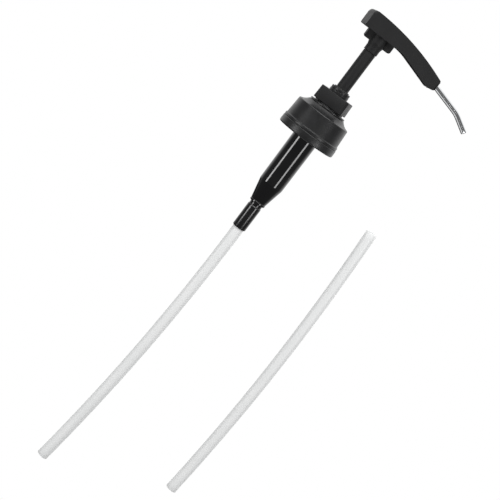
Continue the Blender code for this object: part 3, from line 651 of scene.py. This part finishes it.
def make_ball_cage():
    low, high = extent("ball_cage")
    hub_r, hole_r, disc_low = 5.6, 3.0, high.z - 1.6
    window_r, window_at, above, below = 1.25, 7.3, high.z + 1, disc_low - 1
    outline = [(hole_r, high.z, 0.3), (high.x, high.z, 0.4), (high.x - 0.4, disc_low, 0.3)]
    outline += [(hub_r, disc_low, 0.4), (hub_r, low.z, 0.3), (hole_r, low.z, 0.3)]
    windows = []
    for index in range(6):
        angle = math.radians(60 * index)
        drill = turned([(0, above), (window_r, above), (window_r, below), (0, below)], 24)
        place = (window_at * math.cos(angle), window_at * math.sin(angle), 0)
        bmesh.ops.translate(drill, vec=place, verts=drill.verts)
        windows.append(("DIFFERENCE", drill))
    bm = combined(turned(rounded(outline), SIDES_SMALL), windows)
    return piece("ball_cage", bm, "pump_body", WHITE)


def make_return_spring():
    """Round wire with closed end turns and an even pitch between them."""
    turns, wire, per_turn, wire_sides = 10, 0.65, 48, 12
    radius = SPRING_HIGH.x - wire
    closed = 2 * wire + 0.15
    low, high = SPRING_LOW.z + wire, SPRING_HIGH.z - wire
    bm = bmesh.new()
    rings = []
    for step in range((turns + 2) * per_turn + 1):
        angle = 2 * math.pi * step / per_turn
        coil = step / per_turn
        if coil < 1:
            height = low + closed * coil
        elif coil > turns + 1:
            height = high - closed * (turns + 2 - coil)
        else:
            height = low + closed + (high - low - 2 * closed) * (coil - 1) / turns
        outward = Vector((math.cos(angle), math.sin(angle), 0))
        ring = []
        for side in range(wire_sides):
            turn = 2 * math.pi * side / wire_sides
            offset = outward * (radius + wire * math.cos(turn))
            ring.append(bm.verts.new(offset + Vector((0, 0, height + wire * math.sin(turn)))))
        rings.append(ring)
    join_rings(bm, rings)
    bm.faces.new(rings[0])
    bm.faces.new(rings[-1])
    spring = piece("return_spring", bm, "pump_body", SPRING_STEEL)
    slide = next(joint for joint in frame["joints"] if joint["name"] == "plunger_slide")
    stroke = max(slide["range_m"]) / MM
    height = SPRING_HIGH.z - SPRING_LOW.z
    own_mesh(spring)
    return spring


def bowed_path(x, top, vertex_z, length):
    """The centre line of a tube with one steady bow, which is furthest towards +X at vertex_z."""
    steps = 60
    points = []
    for step in range(steps + 1):
        angle = (vertex_z - top + length * step / steps) / TUBE_BOW_R
        shift = TUBE_BOW_R * (1 - math.cos(angle))
        points.append(Vector((x - shift, 0, vertex_z - TUBE_BOW_R * math.sin(angle))))
    return points


def make_tube(name, body, path):
    bm = swept(path, pipe_section(TUBE_R, TUBE_BORE_R, 0.25), SIDES_PIPE)
    return piece(name, bm, body, MILKY)


# ---------------------------------------------------------------- handle and spout

HANDLE_REAR, HANDLE_TIP = HANDLE_LOW.x, HANDLE_HIGH.x
HANDLE_CORNER = 4.0                            # between the rear face and the crown
REAR_HALF, TIP_HALF = 12.5, 6.5                # half widths
SLOPE_START, SLOPE_R, SLOPE = 19.0, 60.0, math.radians(16)
TIP_FOOT = [(79.0, 94.2, 0.6), (76.4, 92.9, 0.8)]   # x, z and corner radius
TIP_FOOT_END = 70.4                            # from here back the rim is plain
TIP_START = 72                                 # from here on every edge is fully rounded
RIM_BAND = 1.3                                 # the rim's edges lie within this of it
HOLLOW_END = 70.0
HOLLOW_REAR_RISE = 3
SOCKET_TOP, SOCKET_FLARE_R, SOCKET_R = 119.0, 9.2, 7.9
PORT_BOSS_END, PORT_BOSS_R = 11, 6
PORT_DEPTH, PORT_RING_END, PORT_RING_R = 8.2, 11.2, 4.4


def crown_height(x):
    return CROWN_Z - CROWN_R + math.sqrt(CROWN_R ** 2 - (x - CROWN_X) ** 2)


def rim_height(x):
    """Height of the handle's lower rim: flat, a short arc, then a straight slope."""
    along, bend = x - SLOPE_START, SLOPE_R * math.sin(SLOPE)
    if along <= 0:
        return UNDERSIDE
    if along < bend:
        return UNDERSIDE - SLOPE_R + math.sqrt(SLOPE_R ** 2 - along ** 2)
    return UNDERSIDE - SLOPE_R * (1 - math.cos(SLOPE)) - (along - bend) * math.tan(SLOPE)


def half_width(x, inset=0.0):
    share = (x - HANDLE_REAR) / (HANDLE_TIP - HANDLE_REAR)
    return REAR_HALF + (TIP_HALF - REAR_HALF) * share - inset


def handle_outline():
    """Side view of the handle: rear corner, over the crown to the tip, back along the rim."""
    corner, steps, slope_steps = HANDLE_CORNER, 40, 12
    crown_start, crown_end = HANDLE_REAR + corner, HANDLE_TIP - 2.0
    rear_top = crown_height(crown_start)
    outline = [(HANDLE_REAR, UNDERSIDE, 1.2)]
    outline += arc((crown_start, rear_top - corner), corner, 180, 90, 8)
    for step in range(1, steps + 1):
        x = crown_start + (crown_end - crown_start) * step / steps
        outline.append((x, crown_height(x)))
    outline += [(HANDLE_TIP, crown_height(HANDLE_TIP), 1.4)] + TIP_FOOT
    outline.append((TIP_FOOT_END, rim_height(TIP_FOOT_END), 2.5))
    bend_end = SLOPE_START + SLOPE_R * math.sin(SLOPE)
    for step in range(slope_steps + 1):
        x = bend_end + (SLOPE_START - bend_end) * step / slope_steps
        outline.append((x, rim_height(x)))
    return rounded(outline)


def handle_body():
    bm = slab(handle_outline(), half_width)

    def upper(middle, first, second):
        high = middle.z > rim_height(middle.x) + RIM_BAND or middle.x > TIP_START
        return first.y * second.y > 0 and high

    def rim(middle, first, second):
        low = middle.z < rim_height(middle.x) + RIM_BAND and middle.x <= TIP_START
        outermost = abs(middle.y) > half_width(middle.x) - 0.01
        return first.y * second.y > 0 and low and outermost

    soften(bm, upper, 1.6, 4)
    soften(bm, rim, 0.45, 2)
    return bm


def handle_hollow():
    """The space under the handle's roof, open below, with a rounded ceiling."""
    rear, low, rise, steps = HANDLE_REAR + WALL, UNDERSIDE - 25, HOLLOW_REAR_RISE, 24
    outline = [(rear, low), (rear, crown_height(rear + rise) - WALL - 2.5)]
    outline.append((rear + rise, crown_height(rear + rise) - WALL))
    for step in range(1, steps + 1):
        x = rear + rise + (HOLLOW_END - rear - rise) * step / steps
        outline.append((x, crown_height(x) - WALL))
    outline.append((HOLLOW_END, low))
    bm = slab(outline, lambda x: half_width(x, WALL))

    def ceiling(middle, first, second):
        roof = min(first.z, second.z) > crown_height(middle.x) - WALL - 3.5
        return first.y * second.y > 0 and roof

    return soften(bm, ceiling, 1.2, 3)


def handle_socket():
    """The round socket for the stem, flared where it meets the webs, up into the roof."""
    outline = [(0, SOCKET_TOP), (SOCKET_FLARE_R, SOCKET_TOP), (SOCKET_FLARE_R, 95.5, 5.0)]
    outline += [(SOCKET_R, 91.5, 5.0), (SOCKET_R, HANDLE_LOW.z, 0.4), (0, HANDLE_LOW.z)]
    bm = turned(rounded(outline), SIDES_SMALL)
    for vertex in bm.verts:
        if abs(vertex.co.z - SOCKET_TOP) < 0.01:
            vertex.co.z = crown_height(vertex.co.x) - WALL / 2
    return bm


def handle_webs():
    """One web along the handle on both sides of the socket, with its lower corners cut off."""
    low, chamfer, rear, front, half = 94.9, 1.6, -16.5, 17.0, WEB_HALF
    outline = [(rear, low + chamfer)]
    for x in (rear, -6.0, 6.0, front):
        outline.append((x, crown_height(x) - WALL / 2))
    outline += [(front, low + chamfer), (front - chamfer, low), (rear + chamfer, low)]
    bm = slab(outline, lambda x: half)
    return soften(bm, lambda middle, first, second: middle.z < crown_height(middle.x) - 3, 0.6, 3)


def handle_port():
    """The boss on the socket that the spout is pressed into."""
    end, radius, start = PORT_BOSS_END, PORT_BOSS_R, 0.5
    outline = [(0, end), (radius, end, 0.4), (radius, start), (0, start)]
    return turned(rounded(outline), SIDES_SMALL, "X", PORT_Z)


def make_handle_shell():
    socket_bore, duct_r = HEAD_SPIGOT_R + GAP, 4
    ceiling, duct_top, low = STEM_HIGH.z + GAP, PORT_Z + 4, HANDLE_LOW.z
    bore = [(0, duct_top), (duct_r, duct_top), (duct_r, ceiling), (socket_bore, ceiling)]
    bore += [(socket_bore, low + 0.4), (socket_bore + 0.9, low - 0.5), (0, low - 0.5)]
    hole, mouth_r, mouth = SPOUT_R + GAP, SPOUT_R + 0.5, 18
    port = [(0, mouth), (mouth_r, mouth), (mouth_r, PORT_RING_END), (PORT_RING_R, PORT_RING_END)]
    port += [(PORT_RING_R, PORT_DEPTH), (hole, PORT_DEPTH), (hole, 0), (0, 0)]
    steps = [("DIFFERENCE", handle_hollow()), ("UNION", handle_socket()), ("UNION", handle_webs())]
    steps += [("UNION", handle_port()), ("DIFFERENCE", turned(bore, SIDES_SMALL))]
    steps += [("DIFFERENCE", turned(port, SIDES_SMALL, "X", PORT_Z)), ("DIFFERENCE", tip_drill())]
    return piece("handle_shell", combined(handle_body(), steps), "head", MATTE)


SPOUT_LEVEL = 5.6                              # straight run inside the socket
SPOUT_ARC = (175.0, math.radians(14.1))        # radius and turn under the roof
SPOUT_REACH = 61.2                             # straight run out through the tip
SPOUT_BEND = (36.0, math.radians(14.9))        # radius and turn of the bend outside
SPOUT_END = 18.1                               # straight run to the open end
TIP_MOUTH = 80.2                               # the spout leaves the tip here


def spout_path():
    """The spout's centre line as straight runs and arcs, with a point about every pitch."""
    pitch = 2.5
    legs = [(SPOUT_LEVEL, 0), (SPOUT_ARC[0] * SPOUT_ARC[1], SPOUT_ARC[1]), (SPOUT_REACH, 0)]
    legs += [(SPOUT_BEND[0] * SPOUT_BEND[1], SPOUT_BEND[1]), (SPOUT_END, 0)]
    place = Vector((extent("spout_tube")[0].x, 0, PORT_Z))
    points, heading = [place.copy()], 0.0
    for length, turn in legs:
        steps = max(2, round(length / pitch))
        for _ in range(steps):
            heading += turn / steps / 2
            place = place + Vector((math.cos(heading), 0, -math.sin(heading))) * length / steps
            heading += turn / steps / 2
            points.append(place.copy())
    return points


def tip_drill():
    """The slanted hole in the tip for the spout, from the hollow to the open air."""
    centre = min(spout_path(), key=lambda point: abs(point.x - TIP_MOUTH))
    hole, out, back = SPOUT_R + GAP, 8, -14
    bm = turned([(0, out), (hole, out), (hole, back), (0, back)], SIDES_SMALL, "X")
    turn = Matrix.Rotation(SPOUT_ARC[1], 3, "Y")
    bmesh.ops.rotate(bm, cent=(0, 0, 0), matrix=turn, verts=bm.verts)
    bmesh.ops.translate(bm, vec=centre, verts=bm.verts)
    return bm


def make_spout_tube():
    bm = swept(spout_path(), pipe_section(SPOUT_R, SPOUT_BORE_R, 0.2), SIDES_PIPE)
    return piece("spout_tube", bm, "head", STEEL)


# ---------------------------------------------------------------- studio

# In metres, apart from the floor's sizes.
AIM = Vector((0.02531, 0.00015, -0.15801))   # between the pump and the spare tube
DISTANCE = 1.2                               # from the camera to AIM
AZIMUTH, ELEVATION, ROLL = math.radians(-16), math.radians(10), math.radians(52.93)
LENS = 80
LIT_CENTRE = Vector((0, 0, -0.1))            # the lights are placed about this point
LIGHTS = [                                   # name, bearing, rise, distance, size, radiance
    ("left_strip", -50.5, -5, 1.6, (0.36, 0.46), 11),
    ("right_strip", 46, -5, 1.6, (0.36, 0.46), 8.5),
    ("front_softbox", 0, 52, 1.9, (1.7, 1.1), 5),
]
SPOUT_TILT = math.radians(21)                # the spout's mean slope
FLAG_ANGLE = math.radians(125)               # from the viewer, round below the spout
STEEP_LOSS = -2.5                            # taken off for the fourth power of the height
# Over each span of a direction's dot product the brightness runs from the first level to the second.
ROOM_SPAN, ROOM_LEVEL = (-0.75, -0.1), (1.25, 0.2)
LOWER_SPAN, LOWER_LEVEL = (-0.5, -0.1), (0.75, 1.0)
FLAG_SPAN, FLAG_LEVEL = (0.66, 0.78), (1.0, 0.02)
FLOOR_Z, FLOOR_R, FLOOR_THICK, FLOOR_EDGE = -1300.0, 260.0, 20.0, 8


def view_axes():
    """The directions to the viewer, to the right and up, before the camera is rolled."""
    back = Vector((math.sin(AZIMUTH) * math.cos(ELEVATION), -math.cos(AZIMUTH) * math.cos(ELEVATION),
                   math.sin(ELEVATION)))
    right = Vector((math.cos(AZIMUTH), math.sin(AZIMUTH), 0))
    return back, right, back.cross(right)


def make_camera():
    """The pump's upright lies at ROLL degrees above the picture's horizontal."""
    back, right, up = view_axes()
    across = up * math.cos(ROLL) + right * math.sin(ROLL)
    upward = up * math.sin(ROLL) - right * math.cos(ROLL)
    data = bpy.data.cameras.new("camera")
    data.lens, data.sensor_width = LENS, 36
    data.clip_start, data.clip_end = 0.05, 50
    camera = bpy.data.objects.new("camera", data)
    camera.matrix_world = Matrix.Translation(AIM + back * DISTANCE) @ Matrix(
        (across, upward, back)).transposed().to_4x4()
    bpy.context.scene.collection.objects.link(camera)
    bpy.context.scene.camera = camera


def make_softbox(name, bearing, rise, distance, size, radiance):
    """A rectangular light. bearing and rise are in degrees from the level line to the viewer,
    to the right and up; distance is from LIT_CENTRE and size is across and up, in metres."""
    back = view_axes()[0]
    flat = Vector((back.x, back.y, 0)).normalized()
    level = Matrix.Rotation(math.radians(bearing), 3, "Z") @ flat
    direction = level * math.cos(math.radians(rise)) + Vector((0, 0, math.sin(math.radians(rise))))
    place = LIT_CENTRE + direction * distance
    data = bpy.data.lights.new(name, "AREA")
    data.shape = "RECTANGLE"
    data.size, data.size_y = size
    data.energy = radiance * math.pi * data.size * data.size_y
    lamp = bpy.data.objects.new(name, data)
    lamp.matrix_world = Matrix.Translation(place) @ direction.to_track_quat("Z", "Y").to_matrix().to_4x4()
    lamp.visible_camera = False
    bpy.context.scene.collection.objects.link(lamp)


def make_world():
    """A white room behind, above and below the pump, dim in front and with a black flag.

    The brightness follows each direction's dot product with the level direction to the viewer,
    less a share of the fourth power of its height. The flag, low down behind the pump, draws the
    dark line along the spout's lower side. The camera itself sees plain white.
    """
    world = bpy.data.worlds.new("studio")
    bpy.context.scene.world = world
    world.use_nodes = True
    nodes, links = world.node_tree.nodes, world.node_tree.links
    nodes.clear()
    back = view_axes()[0]
    level_back = Vector((back.x, back.y, 0)).normalized()
    under_spout = Vector((-math.sin(SPOUT_TILT), 0, -math.cos(SPOUT_TILT)))
    flag = (under_spout * math.sin(FLAG_ANGLE) + level_back * math.cos(FLAG_ANGLE)).normalized()

    def maths(operation, first, second, third=None):
        node = nodes.new("ShaderNodeMath")
        node.operation = operation
        for socket, value in zip(node.inputs, (first, second, third)):
            if isinstance(value, float):
                socket.default_value = value
            elif value is not None:
                links.new(value, socket)
        return node.outputs["Value"]

    def along(axis):
        node = nodes.new("ShaderNodeVectorMath")
        node.operation = "DOT_PRODUCT"
        node.inputs[1].default_value = axis
        links.new(where, node.inputs[0])
        return node.outputs["Value"]

    def ranged(value, source, target):
        node = nodes.new("ShaderNodeMapRange")
        node.interpolation_type = "SMOOTHSTEP"
        node.inputs["From Min"].default_value, node.inputs["From Max"].default_value = source
        node.inputs["To Min"].default_value, node.inputs["To Max"].default_value = target
        links.new(value, node.inputs["Value"])
        return node.outputs["Result"]

    where = nodes.new("ShaderNodeTexCoord").outputs["Generated"]
    height = along((0, 0, 1))
    steep = maths("POWER", maths("ABSOLUTE", height, 0.0), 4.0)
    front = maths("MULTIPLY_ADD", steep, STEEP_LOSS, along(level_back))
    room = ranged(front, ROOM_SPAN, ROOM_LEVEL)
    lower = ranged(height, LOWER_SPAN, LOWER_LEVEL)
    unflagged = ranged(along(flag), FLAG_SPAN, FLAG_LEVEL)
    level = maths("MULTIPLY", maths("MULTIPLY", room, lower), unflagged)
    lit, seen = nodes.new("ShaderNodeBackground"), nodes.new("ShaderNodeBackground")
    ray, mix = nodes.new("ShaderNodeLightPath"), nodes.new("ShaderNodeMixShader")
    output = nodes.new("ShaderNodeOutputWorld")
    links.new(level, lit.inputs["Strength"])
    links.new(ray.outputs["Is Camera Ray"], mix.inputs["Fac"])
    links.new(lit.outputs["Background"], mix.inputs[1])
    links.new(seen.outputs["Background"], mix.inputs[2])
    links.new(mix.outputs["Shader"], output.inputs["Surface"])
    for background in (lit, seen):
        background.inputs["Color"].default_value = (1, 1, 1, 1)


def make_floor():
    """A pale round floor well below the pump."""
    top, low = FLOOR_Z, FLOOR_Z - FLOOR_THICK
    outline = [(0, top), (FLOOR_R, top, FLOOR_EDGE), (FLOOR_R, low, FLOOR_EDGE), (0, low)]
    bm = turned(rounded(outline), 96)
    bmesh.ops.scale(bm, vec=(MM, MM, MM), verts=bm.verts)
    floor = bare_object("floor", bm)
    paint = Paint("pale_floor", (0.82, 0.82, 0.81), 0.7)
    paint.tint(paint.noise(240.0), (0.80, 0.80, 0.79), (0.84, 0.84, 0.83))
    paint.relief(paint.noise(3.0), 0.05, 0.3)
    floor.data.materials.append(paint.material)
    floor.data.shade_smooth()
    floor.data.set_sharp_from_angle(angle=SHARP)


def build():
    make_camera()
    make_closure_cap()
    make_grip_band()
    make_neck_gasket()
    make_pump_barrel()
    make_collar_nut()
    make_thrust_ring()
    make_guide_bush()
    make_stem_wiper()
    make_piston()
    make_cup_seal("upper_cup_seal", True)
    make_cup_seal("lower_cup_seal", False)
    make_stem()
    make_ball_stop_pin()
    make_discharge_seat()
    make_ball("outlet_ball", "outlet_ball")
    make_ball("inlet_ball", "inlet_ball")
    make_foot_valve_body()
    make_o_ring("foot_valve_o_ring", "pump_body", 6.68, "Z")
    make_o_ring("spout_o_ring", "head", 3.72, "X")
    make_ball_cage()
    make_return_spring()
    dip_path = bowed_path(0, DIP_TOP, DIP_TOP - DIP_BOW_DEPTH, DIP_LENGTH)
    spare_path = bowed_path(SPARE_X, SPARE_TOP, SPARE_BOW_Z, SPARE_LENGTH)
    make_tube("dip_tube", "pump_body", dip_path)
    make_tube("extension_tube", "extension_tube", spare_path)
    make_handle_shell()
    make_spout_tube()
    for light in LIGHTS:
        make_softbox(*light)
    make_world()
    make_floor()
    bpy.context.scene.view_settings.view_transform = "Standard"


build()
